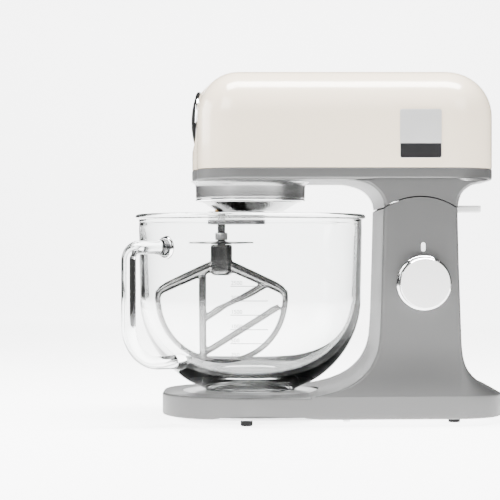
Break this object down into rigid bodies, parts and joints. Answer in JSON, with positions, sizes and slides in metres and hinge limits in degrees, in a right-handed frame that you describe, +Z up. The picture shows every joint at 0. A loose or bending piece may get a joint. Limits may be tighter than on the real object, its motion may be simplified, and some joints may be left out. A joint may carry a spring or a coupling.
{
  "type": "stand mixer",
  "caption": "Tilt-head stand mixer with a lift-and-turn planetary beater, a glass bowl with handle, a speed knob and a capped front drive outlet.",
  "frame": {"origin": "on the ground under the middle of the mixer's overall box", "axes": "+X from the bowl end back to the column end, +Y across (the speed knob is on the -Y side), +Z up"},
  "size_m": [0.38, 0.2378, 0.3538],
  "materials": {
    "silver_paint": "satin metallic paint on die-cast",
    "cream_gloss": "gloss cream paint on die-cast",
    "zinc_plate": "plated",
    "black_rubber": "matt",
    "steel_screws": "plated",
    "seat_satin": "satin",
    "ground_steel": "ground",
    "bronze": "sintered",
    "copper": "enamelled",
    "board_green": "solder mask",
    "dark_plastic": "moulded",
    "light_lens": "clear",
    "badge_blank": "satin",
    "gear_case": "cast",
    "gear_nylon": "moulded",
    "lamination": "laminated",
    "lever_metal": "satin",
    "cap_chrome": "polished",
    "hub_metal": "satin",
    "tool_steel": "polished",
    "knob_satin": "spun",
    "bowl_glass": "clear"
  },
  "bodies": {
    "base": {"base_housing": "silver_paint", "base_plate": "zinc_plate", "rubber_feet": "black_rubber", "base_screws": "steel_screws", "bowl_seat": "seat_satin", "seat_screws": "steel_screws", "hinge_pin": "ground_steel", "hinge_pin_plug": "silver_paint", "control_board": "board_green", "speed_control": "dark_plastic", "indicator_light": "light_lens", "cord_gland": "black_rubber", "latch_catch": "zinc_plate", "interlock_switch": "dark_plastic"},
    "head": {"head_cover": "cream_gloss", "head_chassis": "silver_paint", "hinge_arm": "zinc_plate", "hinge_bushes": "bronze", "arm_screws": "steel_screws", "cover_screws": "steel_screws", "badge_plate": "badge_blank", "outlet_socket": "dark_plastic", "gearbox_housing": "gear_case", "gearbox_lid": "gear_case", "ring_gear": "gear_nylon", "gearbox_bearings": "ground_steel", "motor_stator": "lamination", "field_coils": "copper", "motor_bracket_lower": "zinc_plate", "motor_bracket_upper": "zinc_plate", "motor_bearings": "ground_steel", "brush_holders": "dark_plastic", "drive_belt": "black_rubber", "lever_pin": "steel_screws", "lever_spring": "steel_screws"},
    "lever": {"release_lever": "lever_metal"},
    "cap": {"outlet_cap": "cap_chrome"},
    "rotor": {"armature": "lamination", "commutator": "copper", "motor_shaft": "ground_steel", "cooling_fan": "dark_plastic", "motor_pulley": "dark_plastic"},
    "lay": {"layshaft": "ground_steel", "large_pulley": "dark_plastic", "drive_pinion": "ground_steel"},
    "hub": {"central_shaft": "ground_steel", "main_gear": "gear_nylon", "planet_hub": "hub_metal", "socket_block": "hub_metal", "spindle_bush": "bronze"},
    "tool": {"tool_spindle": "ground_steel", "planet_pinion": "ground_steel", "beater_shank": "tool_steel", "beater_nut": "tool_steel", "splash_disc": "tool_steel", "beater_frame": "tool_steel"},
    "knob": {"speed_knob": "knob_satin"},
    "bowl": {"glass_bowl": "bowl_glass", "bowl_handle": "bowl_glass"}
  },
  "joints": [
    {"name": "head_tilt", "type": "hinge", "parent": "base", "child": "head", "pos_m": [0.10429, 0, 0.1636], "axis": [0, 1, 0], "range_deg": [0, 45]},
    {"name": "lever_lift", "type": "hinge", "parent": "head", "child": "lever", "pos_m": [0.13379, 0, 0.226], "axis": [0, -1, 0], "range_deg": [0, 15], "stiffness_Nm_per_rad": 0.4, "springref_deg": -8.59},
    {"name": "cap_pull", "type": "slide", "parent": "head", "child": "cap", "axis": [-1, 0, 0], "range_m": [0, 0.03]},
    {"name": "hub_spin", "type": "hinge", "parent": "head", "child": "hub", "pos_m": [-0.06401, 0, 0.22], "axis": [0, 0, 1], "continuous": true},
    {"name": "tool_spin", "type": "hinge", "parent": "hub", "child": "tool", "pos_m": [-0.09401, 0, 0.22], "axis": [0, 0, 1], "continuous": true},
    {"name": "layshaft_spin", "type": "hinge", "parent": "head", "child": "lay", "pos_m": [-0.02201, 0, 0.26], "axis": [0, 0, 1], "continuous": true},
    {"name": "motor_spin", "type": "hinge", "parent": "head", "child": "rotor", "pos_m": [0.10099, 0, 0.29], "axis": [0, 0, 1], "continuous": true},
    {"name": "knob_turn", "type": "hinge", "parent": "base", "child": "knob", "pos_m": [0.10729, -0.09, 0.1408], "axis": [0, 1, 0], "range_deg": [-35, 200]},
    {"name": "bowl_twist", "type": "hinge", "parent": "base", "child": "bowl", "pos_m": [-0.06401, 0, 0.03], "axis": [0, 0, 1], "range_deg": [0, 25]}
  ],
  "couplings": [
    {"joint": "tool_spin", "follows": "hub_spin", "ratio": -3},
    {"joint": "layshaft_spin", "follows": "hub_spin", "ratio": -3},
    {"joint": "motor_spin", "follows": "hub_spin", "ratio": -7.5}
  ]
}
